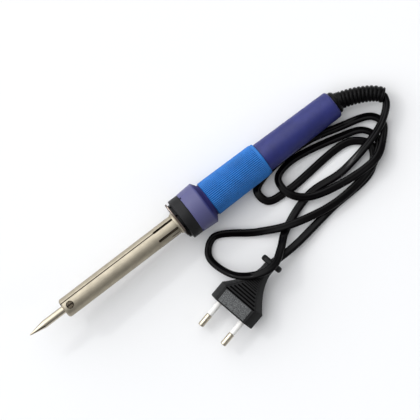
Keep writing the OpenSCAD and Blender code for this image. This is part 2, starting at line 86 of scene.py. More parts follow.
# x, y, height of the underside, angle its width is tipped up by
CORD_ROUTE = [
    (147, -15, 6.6, 50), (145, -20, 6.3, 40), (133.5, -28.5, 5.7, 40), (99, -37, 0.4, 20),
    (72, -36, 0.2, 5), (46, -45.5, 1.3, 15), (37.5, -52, 8.4, 10), (27.5, -57.5, 14.8, 5),
    (15, -55.5, 14.6, 30), (3, -46, 6.6, 50), (-1.5, -29, 1.2, 45), (8, -21, 0.2, 45),
    (32, -35, 0.6, 20), (50, -43.5, 5, 0), (82, -50, 3.5, 20), (110, -47, 3.6, 0),
    (121, -42, 3.1, 15), (128, -34, 0.3, 45), (124, -24.5, 0.1, 50), (110, -19, 0, 35),
    (74, -12.5, 1.6, 45), (62.5, -16.5, 2.7, 45), (62.5, -28, 4.1, 20), (73, -38, 3.6, 20),
    (118, -43.5, 7.2, 5), (130, -36.5, 4.3, 40), (136.5, -28, 1, 35), (133, -20.5, 0.4, 35),
    (112, -13.5, 0, 15), (88, -8, 0, 0), (57.5, -9.5, 0, 0), (47.5, -14.5, 0, 20),
    (49, -23.5, 0, 15), (64, -26, 0, 0), (112.5, -25, 0, 15), (122, -35, 0, 0),
    (112.5, -47.5, 0, 0), (78, -51.5, 0.2, 5), (46, -56, 2.6, 25), (27, -56.2, 8.4, 10)]
CORD_W, CORD_T = 5.2, 3.2


def through(route, steps):
    """The centripetal curve through the route's points, steps to a stretch."""
    r = np.asarray(route, float)
    p = np.vstack([2 * r[0] - r[1], r, 2 * r[-1] - r[-2]])
    out = []
    for a, b, c, d in zip(p[:-3], p[1:-2], p[2:-1], p[3:]):
        t1 = math.sqrt(max(math.dist(a[:2], b[:2]), 1e-3))
        t2 = t1 + math.sqrt(max(math.dist(b[:2], c[:2]), 1e-3))
        t3 = t2 + math.sqrt(max(math.dist(c[:2], d[:2]), 1e-3))
        for k in range(steps):
            s = t1 + (t2 - t1) * k / steps
            e = a * (t1 - s) / t1 + b * s / t1
            f = b * (t2 - s) / (t2 - t1) + c * (s - t1) / (t2 - t1)
            g = c * (t3 - s) / (t3 - t2) + d * (s - t2) / (t3 - t2)
            m = e * (t2 - s) / t2 + f * s / t2
            n = f * (t3 - s) / (t3 - t1) + g * (s - t1) / (t3 - t1)
            out.append(m * (t2 - s) / (t2 - t1) + n * (s - t1) / (t2 - t1))
    out.append(r[-1])
    return np.array(out)


def along(line):
    """Distance of each point of a line from its start."""
    return np.concatenate([[0], np.cumsum(np.linalg.norm(np.diff(line[:, :3], axis=0), axis=1))])


def resampled(line, pitch):
    """The same line with points at an even spacing."""
    s = along(line)
    even = np.linspace(0, s[-1], max(2, round(s[-1] / pitch) + 1))
    return np.stack([np.interp(even, s, line[:, k]) for k in range(line.shape[1])], axis=1)


def frames(centres, rolls):
    """Directions across a line, rolled about it: the wide one and the thin one."""
    t = np.gradient(centres, axis=0)
    t /= np.linalg.norm(t, axis=1)[:, None]
    side = np.cross([0, 0, 1], t)
    side /= np.linalg.norm(side, axis=1)[:, None]
    up = np.cross(t, side)
    c, s = np.cos(np.radians(rolls))[:, None], np.sin(np.radians(rolls))[:, None]
    return side * c + up * s, up * c - side * s


# ---- Meshes --------------------------------------------------------------------
def skin(rings, loop=False):
    """Faces over rings of points: closed on itself, or with flat caps on its ends."""
    rings = np.asarray(rings, float)
    n, m = rings.shape[:2]
    verts = [rings.reshape(-1, 3)]
    ring, k = np.meshgrid(np.arange(n if loop else n - 1), np.arange(m), indexing="ij")
    here, there, after = ring * m, (ring + 1) % n * m, (k + 1) % m
    faces = np.stack([here + k, here + after, there + after, there + k], axis=-1)
    faces = faces.reshape(-1, 4).tolist()
    if not loop:
        verts.append(rings[[0, -1]].mean(axis=1))
        for k in range(m):
            after = (k + 1) % m
            faces.append([n * m, after, k])
            faces.append([n * m + 1, (n - 1) * m + k, (n - 1) * m + after])
    return np.vstack(verts), faces


def joined(parts):
    """Several (verts, faces) as one."""
    verts, faces, base = [], [], 0
    for v, f in parts:
        verts.append(v)
        faces += [[q + base for q in face] for face in f]
        base += len(v)
    return np.vstack(verts), faces


def eased(points, radius, steps=4, loop=False):
    """A line of 2-D points with its corners rounded."""
    p = [np.array(q, float) for q in points]
    out = []
    last = len(p) - 1
    for i, q in enumerate(p):
        if not loop and i in (0, last):
            out.append(q)
            continue
        a, b = p[i - 1], p[(i + 1) % len(p)]
        da, db = np.linalg.norm(a - q), np.linalg.norm(b - q)
        if min(da, db) < 1e-6:
            continue
        ta, tb = (a - q) / da, (b - q) / db
        angle = math.acos(max(-1, min(1, float(ta @ tb))))
        if angle > math.radians(172):
            out.append(q)
            continue
        reach = min(radius / math.tan(angle / 2), 0.45 * da, 0.45 * db)
        s, e = q + ta * reach, q + tb * reach
        for k in range(steps + 1):
            w = k / steps
            out.append((1 - w) ** 2 * s + 2 * w * (1 - w) * q + w * w * e)
    return np.array(out)


def revolve(profile, segments=96, loop=False):
    """A turned form from (radius, station); an open profile starts and ends on the axis."""
    a = np.linspace(0, 2 * math.pi, segments, endpoint=False)
    profile = np.asarray(profile, float)
    if not loop:
        profile = profile[profile[:, 0] > 1e-6]
    rings = np.stack([np.stack([r * np.cos(a), r * np.sin(a), np.full(segments, u)], axis=-1)
                      for r, u in profile])
    return skin(rings, loop=loop)


def box(lo, hi, ease, steps=3):
    """A block with rounded edges, lofted along Z."""
    lo, hi = np.array(lo, float), np.array(hi, float)
    out = []
    a = np.linspace(0, math.pi / 2, steps + 1)
    levels = [(lo[2] + ease * (1 - math.cos(q)), ease * (1 - math.sin(q))) for q in a]
    levels += [(hi[2] - ease * (1 - math.cos(q)), ease * (1 - math.sin(q))) for q in a[::-1]]
    for z, inset in levels:
        x0, y0, x1, y1 = lo[0] + inset, lo[1] + inset, hi[0] - inset, hi[1] - inset
        sec = eased([(x0, y0), (x1, y0), (x1, y1), (x0, y1)], ease, steps, loop=True)
        out.append(np.column_stack([sec, np.full(len(sec), z)]))
    return skin(out)


def mesh_object(name, shape, material, sharp=SHARP):
    """An object from points in mm, shaded smooth up to the sharp angle."""
    verts, faces = shape
    mesh = bpy.data.meshes.new(name)
    mesh.from_pydata((np.asarray(verts) * MM).tolist(), [], faces)
    bm = bmesh.new()
    bm.from_mesh(mesh)
    bmesh.ops.recalc_face_normals(bm, faces=bm.faces)
    bm.to_mesh(mesh)
    bm.free()
    mesh.polygons.foreach_set("use_smooth", [True] * len(mesh.polygons))
    mesh.set_sharp_from_angle(angle=math.radians(sharp))
    mesh.materials.append(material)
    obj = bpy.data.objects.new(name, mesh)
    bpy.context.collection.objects.link(obj)
    return obj


def carved(obj, cutters, material):
    """Takes closed shapes, in mm, out of an object; the cut faces get their own material."""
    for shape in cutters:
        cutter = mesh_object("cutter", shape, material)
        cut = obj.modifiers.new("cut", "BOOLEAN")
        cut.operation, cut.solver, cut.object = "DIFFERENCE", "EXACT", cutter
        cut.material_mode = "TRANSFER"
        evaluated = obj.evaluated_get(bpy.context.evaluated_depsgraph_get())
        mesh = bpy.data.meshes.new_from_object(evaluated)
        obj.modifiers.clear()
        obj.data = mesh
        bpy.data.objects.remove(cutter)
    obj.data.name = obj.name
    obj.data.polygons.foreach_set("use_smooth", [True] * len(obj.data.polygons))
    obj.data.set_sharp_from_angle(angle=math.radians(SHARP))


def placed(obj, body="iron", *, nodes):
    """Gives a rebuilt piece its body and hides the CAD nodes it stands for."""
    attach(obj, body)
    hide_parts(*nodes)
    return obj


def piece(name, shape, look, body="iron", *, nodes, sharp=SHARP):
    return placed(mesh_object(name, shape, look.mat, sharp), body, nodes=nodes)


# ---- Materials -------------------------------------------------------------------
class Look:
    """A principled material whose colour, roughness and relief come from noise."""

    def __init__(self, name, colour, roughness, metallic=0.0, **plain):
        self.mat = bpy.data.materials.new(name)
        self.mat.use_nodes = True
        self.tree = self.mat.node_tree
        self.bsdf = self.tree.nodes["Principled BSDF"]
        self.colour = tuple(colour) + (1,)
        self.bsdf.inputs["Base Color"].default_value = self.colour
        self.bsdf.inputs["Roughness"].default_value = roughness
        self.bsdf.inputs["Metallic"].default_value = metallic
        for key, value in plain.items():
            self.bsdf.inputs[key.replace("_", " ")].default_value = value
        self.coords = self.tree.nodes.new("ShaderNodeTexCoord").outputs["Object"]
        self.normal = None
        self.mat.diffuse_color = self.colour

    def node(self, kind, **inputs):
        n = self.tree.nodes.new(kind)
        for key, value in inputs.items():
            n.inputs[key.replace("_", " ")].default_value = value
        return n

    def link(self, a, b):
        self.tree.links.new(a, b)

    def noise(self, size, detail=3.0, stretch=(1, 1, 1), roughness=0.55):
        """Noise whose features are about size mm, stretched along the row axes."""
        m = self.node("ShaderNodeMapping")
        m.inputs["Scale"].default_value = [1 / (size * MM * s) for s in stretch]
        self.link(self.coords, m.inputs["Vector"])
        n = self.node("ShaderNodeTexNoise", Scale=1.0, Detail=detail, Roughness=roughness)
        self.link(m.outputs["Vector"], n.inputs["Vector"])
        return n.outputs["Fac"]

    def place(self, axis):
        """Where a point lies along one row axis, in metres."""
        n = self.node("ShaderNodeSeparateXYZ")
        self.link(self.coords, n.inputs["Vector"])
        return n.outputs[axis]

    def spread(self, value, low, high, start=0.3, stop=0.7):
        r = self.node("ShaderNodeMapRange", From_Min=start, From_Max=stop, To_Min=low, To_Max=high)
        self.link(value, r.inputs["Value"])
        return r.outputs["Result"]

    def mottled(self, value, other, start=0.35, stop=0.65):
        """Colour that drifts from the present one to another."""
        r = self.node("ShaderNodeMix")
        r.data_type = "RGBA"
        socket = self.bsdf.inputs["Base Color"]
        if socket.links:
            self.link(socket.links[0].from_socket, r.inputs["A"])
        else:
            r.inputs["A"].default_value = self.colour
        r.inputs["B"].default_value = tuple(other) + (1,)
        self.link(self.spread(value, 0, 1, start, stop), r.inputs["Factor"])
        self.link(r.outputs["Result"], socket)
        return self

    def gloss(self, value, low, high):
        self.link(self.spread(value, low, high), self.bsdf.inputs["Roughness"])
        return self

    def relief(self, value, depth):
        """Bump of about depth mm, added to any bump before it."""
        b = self.node("ShaderNodeBump", Strength=1.0, Distance=depth * MM)
        self.link(value, b.inputs["Height"])
        if self.normal:
            self.link(self.normal, b.inputs["Normal"])
        self.normal = b.outputs["Normal"]
        self.link(self.normal, self.bsdf.inputs["Normal"])
        return self

    def worn_and_highlit(self, other, start, stop):
        """Edges drawn by pointiness towards another colour: rubbed wear, with a painted edge highlight
        where that colour is paler.
        """
        g = self.tree.nodes.new("ShaderNodeNewGeometry")
        return self.mottled(g.outputs["Pointiness"], other, start, stop)


def plastic(name, colour, roughness, size, depth, light=1.25, dark=0.85, specular=0.5):
    """Moulded plastic: grain of a size and depth in mm, and a slow drift from dark to light."""
    look = Look(name, [c * dark for c in colour], roughness, Specular_IOR_Level=specular)
    look.mottled(look.noise(9), [c * light for c in colour])
    look.gloss(look.noise(3, 4), roughness - 0.07, roughness + 0.09)
    look.relief(look.noise(size, 2), depth)
    look.relief(look.noise(6), depth * 1.5)
    return look


def metal(name, colour, roughness, stretch=(1, 1, 1), size=0.12, depth=0.004):
    """Metal with fine grain, in mm, drawn out into lines along the stretched axis."""
    look = Look(name, colour, roughness, 1.0)
    look.mottled(look.noise(5, 4), [c * 0.86 for c in colour])
    look.gloss(look.noise(size * 2, 3, stretch), roughness - 0.06, roughness + 0.12)
    look.relief(look.noise(size, 3, stretch), depth)
    return look


cord_look = Look("cord_black", (0.0014, 0.0011, 0.0014), 0.13, Specular_IOR_Level=0.1)
cord_look.gloss(cord_look.noise(5, 4), 0.1, 0.18)
cord_look.relief(cord_look.noise(1.6, 2), 0.015)
cord_look.mottled(cord_look.noise(2, 5), (0.004, 0.0038, 0.0038), 0.5, 0.85)

relief_look = plastic("relief_black", (0.0016, 0.0015, 0.0016), 0.26, 0.35, 0.01, specular=0.11)
plug_look = plastic("plug_black", (0.0042, 0.0042, 0.0044), 0.4, 0.3, 0.015, specular=0.16)
# Painted shade: near-black, almost glossless plastic for the faces of the plug's grooves
plug_groove_shade_look = plastic("plug_groove_shade", (0.0005, 0.0005, 0.0005), 0.5, 0.3, 0.01, specular=0.02)
plate_look = Look("plate_matte", (0.022, 0.023, 0.024), 0.6, Specular_IOR_Level=0.4)
plate_look.mottled(plate_look.noise(0.55, 3, roughness=0.75), (0.16, 0.165, 0.165), 0.42, 0.68)
plate_look.relief(plate_look.noise(0.45, 2), 0.14)
ring_look = plastic("black_plastic", (0.0085, 0.0085, 0.009), 0.46, 0.3, 0.012, specular=0.2)
handle_look = plastic("purple_plastic", (0.016, 0.02, 0.125), 0.42, 0.3, 0.015, 1.15, 0.9, specular=0.33)
# Painted light: the collar in front of the rim is given a paler purple than the body behind it
handle_look.mottled(handle_look.place("X"), (0.08, 0.08, 0.186),
                    (RIM + 0.2 - MID_X) * MM, (RIM - 1 - MID_X) * MM)
# Painted highlight with rubbed wear: the handle's convex edges, the rim among them, go a paler purple
handle_look.worn_and_highlit([0.1, 0.1, 0.26], 0.53, 0.62)
# Painted shade: a duller, less blue copy of the purple for the bevel behind the rim, which faces away
# from the light
bevel_painted_shade_look = plastic("purple_painted_shade", (0.022, 0.02, 0.1), 0.6, 0.3, 0.015, 1.15, 0.9, specular=0.1)
grip_look = plastic("blue_rubber", (0.014, 0.14, 0.44), 0.5, 0.25, 0.01, 1.1, 0.9, specular=0.3)
# Painted shade: a darker blue for the bottoms of the grip's grooves
grip_groove_shade_look = plastic("blue_groove_shade", (0.004, 0.042, 0.18), 0.6, 0.25, 0.01, 1.1, 0.9, specular=0.1)
barrel_look = metal("barrel_steel", (0.43, 0.385, 0.3), 0.5, (60, 1, 1))
plate_steel_look = metal("plate_steel", (0.15, 0.125, 0.11), 0.22)
# Painted shade: the plate goes darker from 9.5 down to 5 mm on Y, so only the lobe out on the lit +Y
# side keeps the paler steel
plate_steel_look.mottled(plate_steel_look.place("Y"), (0.045, 0.035, 0.03), 9.5 * MM, 5 * MM)
# Painted shade: near-black plastic for the hub in the gap behind the flange
hub_shade_look = plastic("hub_painted_shade", (0.002, 0.002, 0.0022), 0.42, 0.3, 0.012, specular=0.12)
# Painted shade: dark steel for cut edges, bores and slots, where shade falls
recess_shade_look = metal("recess_shade_steel", (0.055, 0.045, 0.036), 0.55)
bit_look = metal("plated_bit", (0.5, 0.45, 0.355), 0.15, (8, 1, 1), size=0.1, depth=0.003)
screw_look = metal("screw_steel", (0.3, 0.28, 0.25), 0.3)
dark_look = metal("dark_steel", (0.2, 0.165, 0.12), 0.3)
worn_look = metal("worn_steel", (0.2, 0.165, 0.12), 0.34, size=0.3, depth=0.02)
worn_look.mottled(worn_look.noise(0.8, 3), (0.05, 0.042, 0.03), 0.4, 0.62)
pin_look = metal("pin_nickel", (0.55, 0.5, 0.4), 0.22, (12, 3, 3), size=0.15, depth=0.002)
brass_look = metal("terminal_brass", (0.72, 0.52, 0.24), 0.3)
wire_look = metal("resistance_wire", (0.42, 0.4, 0.38), 0.4)
sleeve_look = plastic("sleeve_white", (0.76, 0.75, 0.72), 0.38, 0.4, 0.006, 1.02, 0.97)
mica_look = plastic("mica", (0.07, 0.045, 0.02), 0.5, 0.6, 0.03, 1.2, 0.8, specular=0.2)
ceramic_look = plastic("ceramic", (0.5, 0.46, 0.39), 0.6, 0.4, 0.02, 1.03, 0.93)
glass_look = plastic("glass_sleeving", (0.09, 0.06, 0.03), 0.7, 0.5, 0.1, 1.05, 0.85)
nylon_look = plastic("natural_plastic", (0.8, 0.77, 0.66), 0.45, 0.4, 0.01, 1.04, 0.94)
core_look = plastic("core_insulation", (0.2, 0.1, 0.05), 0.35, 0.4, 0.005)

# The looks of the nodes that are carried over from the CAD as they are
CARRIED = {
    "nose_bush": dark_look, "flange_screws": screw_look, "heater_former": dark_look,
    "inner_mica": mica_look, "heater_winding": wire_look, "outer_mica": mica_look,
    "front_insulator": ceramic_look, "rear_insulator": ceramic_look, "heater_leads": wire_look,
    "lead_sleeves": glass_look, "terminal_block": nylon_look, "terminal_tubes": brass_look,
    "terminal_screws": screw_look, "cord_cores": core_look,
    "cord_tail": cord_look, "cord_clip": screw_look, "plug_insert": plug_look, "plug_cores": core_look}
for node, look in CARRIED.items():
    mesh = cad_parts[node].data
    mesh.materials.clear()
    mesh.materials.append(look.mat)

# ---- Camera ------------------------------------------------------------------------
CAMERA_AT = (16.8, -6.0)
CAMERA_Z = 1500.0
FIELD = 262.5               # mm across the picture, at the height of FIELD_Z
FIELD_Z = 12.0
TURN = math.radians(37.34)

camera = bpy.data.objects.new("camera", bpy.data.cameras.new("camera"))
bpy.context.collection.objects.link(camera)
right = Vector((math.cos(TURN), -math.sin(TURN), 0))
upward = Vector((math.sin(TURN), math.cos(TURN), 0))
turn = Matrix((right, upward, right.cross(upward))).transposed()
camera.matrix_world = Matrix.Translation(Vector((*CAMERA_AT, CAMERA_Z)) * MM) @ turn.to_4x4()
camera.data.sensor_width = 36
camera.data.lens = 36 * (CAMERA_Z - FIELD_Z) / FIELD
camera.data.clip_start, camera.data.clip_end = 0.05, 20
bpy.context.scene.camera = camera

# ---- Cord ----------------------------------------------------------------------------
RIM_X = (CORD_W - CORD_T) / 2     # each core's axis lies this far from the middle
OUTLINE_POINTS, CORE_GROOVE = 36, 0.13
CORD_STEP = 0.9


def octagon():
    """Corners of the cord's outline in the CAD: an octagon drawn out sideways."""
    a = np.radians(22.5 + 45 * np.arange(8))
    r = CORD_T / 2 / math.cos(math.radians(22.5))
    x, y = r * np.cos(a), r * np.sin(a)
    return x + np.sign(x) * RIM_X, y


def reach(angle):
    """Height of the centre line over the underside, at a tip angle."""
    x, y = octagon()
    a = np.radians(angle)
    return np.max(np.abs(np.outer(np.sin(a), x) + np.outer(np.cos(a), y)), axis=1)


def twin_outline():
    """Two cores side by side under one sheath, with a shallow groove between them."""
    out = []
    for k in range(OUTLINE_POINTS):
        a = 2 * math.pi * k / OUTLINE_POINTS
        c, s = math.cos(a), math.sin(a)
        x = RIM_X * math.copysign(min(1, abs(c) * 1.9), c) + CORD_T / 2 * c
        over = max(0.0, abs(x) - RIM_X)
        y = math.sqrt(max(0, (CORD_T / 2) ** 2 - over ** 2))
        y -= CORE_GROOVE * (0.5 + 0.5 * math.cos(math.pi * min(1, abs(x) / RIM_X)))
        out.append((x, math.copysign(y, s) if abs(s) > 1e-9 else 0.0))
    return np.array(out)


def cord_line():
    way = through(CORD_ROUTE, 12)
    centres = np.column_stack([way[:, 0], way[:, 1], np.maximum(way[:, 2], 0) + reach(way[:, 3])])
    inner = through(RELIEF_ROUTE, 8)[:-1]
    rolls = np.concatenate([np.linspace(0, CORD_ROUTE[0][3], len(inner)), way[:, 3]])
    return resampled(np.column_stack([np.vstack([inner, centres]), rolls]), CORD_STEP)


line = cord_line()
wide, thin = frames(line[:, :3], line[:, 3])
outline = twin_outline()
rings = line[:, None, :3] + wide[:, None] * outline[None, :, :1] + thin[:, None] * outline[None, :, 1:]
cord = piece("cord", skin(rings), cord_look, nodes=["cord"], sharp=60)

# ---- Strain relief -----------------------------------------------------------------------
RIB_PITCH, RIB_START, RIB_DEPTH = 2.5, 4.8, 0.7
RIB_FADE_IN, RIB_FADE_OUT, LIP_ROUND = 0.8, 0.6, 1.0
RELIEF_R, RELIEF_TIP_R, RELIEF_STEP, RELIEF_SIDES = 5.7, 5.0, 0.16, 72
RELIEF_FROM = (118.9, 0, 9.04)
PLAIN_DROP = 0.12           # the plain stretch before the ribs is thinner by this


def strain_sleeve():
    path = resampled(through([RELIEF_FROM] + RELIEF_ROUTE, 10), RELIEF_STEP)
    s = along(path)
    side, up = frames(path, np.zeros(len(path)))
    theta = np.linspace(0, 2 * math.pi, RELIEF_SIDES, endpoint=False)
    length = s[-1]
    out = []
    for i, c in enumerate(path):
        r = RELIEF_R + (RELIEF_TIP_R - RELIEF_R) * s[i] / length
        phase = (s[i] - RIB_START) / RIB_PITCH + theta / (2 * math.pi)
        groove = (0.5 - 0.5 * np.cos(2 * math.pi * phase)) ** 3
        lip = length - s[i]
        there = (np.clip((s[i] - RIB_START) / RIB_FADE_IN, 0, 1)
                 * np.clip((lip - LIP_ROUND) / RIB_FADE_OUT, 0, 1))
        radius = r - RIB_DEPTH * groove * there
        if s[i] < RIB_START:
            radius = radius - PLAIN_DROP
        if lip < LIP_ROUND:
            radius = radius - LIP_ROUND + math.sqrt(max(0, LIP_ROUND ** 2 - (LIP_ROUND - lip) ** 2))
        across, upright = radius * np.cos(theta), radius * np.sin(theta)
        out.append(c + side[i] * across[:, None] + up[i] * upright[:, None])
    return skin(out)


# Its foot: a disc held inside the handle, a throat through the end and a collar outside
DISC_R, DISC_IN, DISC_OUT = 7.0, END - 8.7, END - 5.8
THROAT_R, COLLAR_R, COLLAR_BACK, FOOT_R, FOOT_BACK = 6.15, 7.4, END + 1.7, 6.35, END + 3.0
relief_foot = eased([(0, DISC_IN), (DISC_R, DISC_IN), (DISC_R, DISC_OUT), (THROAT_R, DISC_OUT),
                     (THROAT_R, END + GAP), (COLLAR_R, END + GAP), (COLLAR_R, COLLAR_BACK),
                     (FOOT_R, FOOT_BACK), (0, FOOT_BACK)], 0.35)
sleeve = piece("strain_relief", joined([in_place(revolve(relief_foot)), strain_sleeve()]),
               relief_look, nodes=["strain_relief"])

# ---- Bit ---------------------------------------------------------------------------------------
BIT_BACK, BIT_CHAMFER = FRONT + BIT_HELD, 0.5
bit_profile = eased([(0, 0), (0.25, 0.1), (0.5, 0.7), (BIT_R - 0.06, BIT_CONE - 0.2),
                     (BIT_R, BIT_CONE + 0.4), (BIT_R, BIT_BACK - BIT_CHAMFER),
                     (BIT_R - BIT_CHAMFER, BIT_BACK), (0, BIT_BACK)], 0.4)
piece("bit", in_place(revolve(bit_profile, 64)), bit_look, "bit", nodes=["bit"])

# ---- Barrel ------------------------------------------------------------------------------------
WALL, STEP = 0.6, 0.25      # the tube's wall, and how much thinner it is under the flange's neck
BORE, LIP_R = BARREL_R - WALL, BARREL_R + 0.8
NOSE_ROUND, NECK_L, BIT_HOLE = 2.0, 1.6, BIT_R + 0.25
SLOTS, SLOT_L, SLOT_W, SLOT_U = 6, 15.0, 1.7, FLANGE - 16.6
SEAM_AT, SEAM_HALF, SEAM_DEPTH, SEAM_LIP = -36.0, 0.42, 0.38, 0.05
SCREW_U, SCREW_HOLE = FRONT + 5.0, 2.48
SLIT_AT, SLIT_W, SLIT_L, NECK_END = 52.0, 0.5, 6.0, FLANGE - NECK_L - 0.3


def turned_about(shape, angle):
    """A shape drawn along Z, turned about Z by an angle in degrees."""
    verts, faces = shape
    c, s = math.cos(math.radians(angle)), math.sin(math.radians(angle))
    x, y, z = np.asarray(verts, float).T
    return np.column_stack([x * c - y * s, x * s + y * c, z]), faces


def ring_of(radius, angles, station):
    """Points round the iron's axis; the radius may differ from angle to angle."""
    x, y = radius * np.cos(angles), radius * np.sin(angles)
    return np.column_stack([x, y, np.full(len(angles), station)])


def outward(points, low, high):
    """A prism over points in (side, station) that reaches outwards along X."""
    p = np.asarray(points, float)
    return skin([np.column_stack([np.full(len(p), r), p]) for r in (low, high)])


def barrel_shape():
    """The rolled tube: its edges meet in a seam that stops at the first slot."""
    arc = np.linspace(0, math.pi / 2, 9)
    nose = [(BARREL_R - NOSE_ROUND * (1 - math.sin(q)), FRONT + NOSE_ROUND * (1 - math.cos(q)))
            for q in arc]
    inner = NOSE_ROUND - WALL
    inside = [(BARREL_R - NOSE_ROUND + inner * math.cos(q), FRONT + NOSE_ROUND - inner * math.sin(q))
              for q in arc]
    long = [(BARREL_R, u) for u in np.linspace(FRONT + NOSE_ROUND + 0.6, FLANGE - NECK_L - 1, 24)]
    rear = [(BARREL_R, NECK_END - 0.1), (BARREL_R - STEP, NECK_END + 0.05),
            (BARREL_R - STEP, RING + GAP), (LIP_R - 0.1, RING + GAP), (LIP_R, RING + 0.15),
            (LIP_R, RING + WALL - 0.1), (LIP_R - 0.1, RING + WALL), (BORE, RING + WALL)]
    mouth = [(BIT_HOLE, FRONT + WALL), (BIT_HOLE, FRONT + 0.1)]
    profile = [(BIT_HOLE + 0.1, FRONT + 0.02)] + nose + long + rear + inside + mouth
    # Close steps round the tube near the seam, even ones elsewhere
    near = np.array([0.0, 0.08, 0.16, 0.24, 0.32, 0.4, 0.55, 0.8]) / BARREL_R
    far = np.linspace(near[-1], 2 * math.pi - near[-1], 110)[1:-1]
    theta = np.concatenate([-near[:0:-1], near, far])
    side = np.abs(np.where(theta > math.pi, theta - 2 * math.pi, theta)) * BARREL_R
    dip = np.clip(1 - side / SEAM_HALF, 0, 1) ** 0.6 * SEAM_DEPTH
    lip = np.where(side < 0.8, np.clip(1 - np.abs(side - 0.4) / 0.2, 0, 1) * SEAM_LIP, 0)
    out = []
    for r, u in profile:
        fade = 0
        if r > BORE + 0.3:
            fade = min(1, max(0, (SLOT_U + 0.5 - u) / 0.5)) * min(1, max(0, (r - BIT_R - 0.4) / 1.5))
        radius = r - fade * (dip + lip)
        out.append(ring_of(radius, theta, u))
    return turned_about(skin(out, loop=True), SEAM_AT)


def barrel_cutters():
    half = SLOT_W / 2
    arc = np.linspace(0, math.pi, 9)
    outline = [(half * math.cos(q), SLOT_U + half - half * math.sin(q)) for q in arc]
    outline += [(-half * math.cos(q), SLOT_U + SLOT_L - half + half * math.sin(q)) for q in arc]
    low, high = BORE - 0.6, BARREL_R + 1
    slots = [turned_about(outward(outline, low, high), SEAM_AT + i * 360 / SLOTS) for i in range(SLOTS)]
    # The seam gapes at the tube's closed front
    wide, narrow, front, back = 0.75, 0.12, FRONT - 0.5, FRONT + 2.8
    gape = turned_about(outward([(-wide, front), (wide, front), (narrow, back), (-narrow, back)],
                                BIT_R + 0.1, high), SEAM_AT)
    side, start = SLIT_W / 2, NECK_END - SLIT_L
    slit = turned_about(outward([(-side, start), (side, start), (side, NECK_END), (-side, NECK_END)],
                                low, high), SLIT_AT)
    a = np.linspace(0, 2 * math.pi, 48, endpoint=False)
    circle = np.column_stack([SCREW_HOLE * np.cos(a), SCREW_U + SCREW_HOLE * np.sin(a)])
    return slots + [slit, gape, outward(circle, BIT_R + 0.5, BARREL_R + 2)]


barrel = mesh_object("barrel", in_place(barrel_shape()), barrel_look.mat)
# Painted shade: the cut edges of the slots, the slit, the gape and the screw hole take the dark steel
carved(barrel, [in_place(c) for c in barrel_cutters()], recess_shade_look.mat)
axis_at, axis_to = (Vector(iron([0, 0, u]) * MM) for u in (0, 1))
axis_to = (axis_to - axis_at).normalized()


def banded(obj, look, low, high):
    """Gives the faces between two stations along the iron a material of their own."""
    slot = len(obj.data.materials)
    obj.data.materials.append(look.mat)
    for face in obj.data.polygons:
        if low * MM < (face.center - axis_at).dot(axis_to) < high * MM:
            face.material_index = slot


# Painted shade: the tube's inside and the bottom of its seam get the same dark steel as its cut edges
recess_shade_slot = barrel.data.materials.find(recess_shade_look.mat.name)
for face in barrel.data.polygons:
    off = face.center - axis_at
    station = off.dot(axis_to) / MM
    radius = (off - axis_to * off.dot(axis_to)).length / MM
    inside = radius < BORE + 0.05 and station > FRONT + 0.7
    in_seam = radius < BARREL_R - 0.16 and FRONT + NOSE_ROUND < station < SLOT_U
    if inside or in_seam:
        face.material_index = recess_shade_slot
placed(barrel, nodes=["barrel"])

# ---- Set screw ---------------------------------------------------------------------------------
SCREW_R, SCREW_LOW, SCREW_HIGH = 2.4, BIT_R + 0.1, BARREL_R - 1.4
DRIVER_W, DRIVER_DEPTH = 0.8, 0.9


def on_screw(shape):
    """A shape drawn along Z, placed along the set screw's axis."""
    points = np.asarray(shape[0], float)
    return iron(np.column_stack([points[:, 2], points[:, 1], SCREW_U - points[:, 0]])), shape[1]


screw_profile = eased([(0, SCREW_LOW), (SCREW_R - 0.4, SCREW_LOW), (SCREW_R, SCREW_LOW + 0.4),
                       (SCREW_R, SCREW_HIGH - 0.3), (SCREW_R - 0.3, SCREW_HIGH), (0, SCREW_HIGH)], 0.12)
set_screw = mesh_object("set_screw", on_screw(revolve(screw_profile, 64)), worn_look.mat)
driver_slot = box((-SCREW_R - 1, -DRIVER_W / 2, SCREW_HIGH - DRIVER_DEPTH),
                  (SCREW_R + 1, DRIVER_W / 2, BARREL_R), 0.08, 2)
# Painted shade: the driver slot's faces take the dark steel
carved(set_screw, [on_screw(driver_slot)], recess_shade_look.mat)
placed(set_screw, "set_screw", nodes=["set_screw"])

# ---- Flange plate and front ring ---------------------------------------------------------------
LOBE_AT, SCREW_CIRCLE, LOBE_TIP = -78.0, 10.2, 13.7
PLATE_SIDES = 180


def on_lobes(shape):
    v, f = shape
    return [turned_about((v + np.array([SCREW_CIRCLE, 0, 0]), f), LOBE_AT + i * 120) for i in range(3)]


def lobed_ring(inset, u):
    """Outline round the plate's middle and its three lobes, drawn in by inset."""
    normals = np.radians(LOBE_AT + np.arange(PLATE_SIDES) * 360 / PLATE_SIDES)
    n = np.column_stack([np.cos(normals), np.sin(normals)])
    lobes = np.radians(LOBE_AT + 120 * np.arange(3))
    centres = np.vstack([[0, 0], SCREW_CIRCLE * np.column_stack([np.cos(lobes), np.sin(lobes)])])
    radii = np.array([BARREL_R + 2.6] + [LOBE_TIP - SCREW_CIRCLE] * 3)
    best = np.argmax(n @ centres.T + radii, axis=1)
    return np.column_stack([centres[best] + n * (radii[best] - inset)[:, None], np.full(PLATE_SIDES, u)])


def round_ring(r, u):
    return ring_of(r, np.radians(LOBE_AT + np.arange(PLATE_SIDES) * 360 / PLATE_SIDES), u)


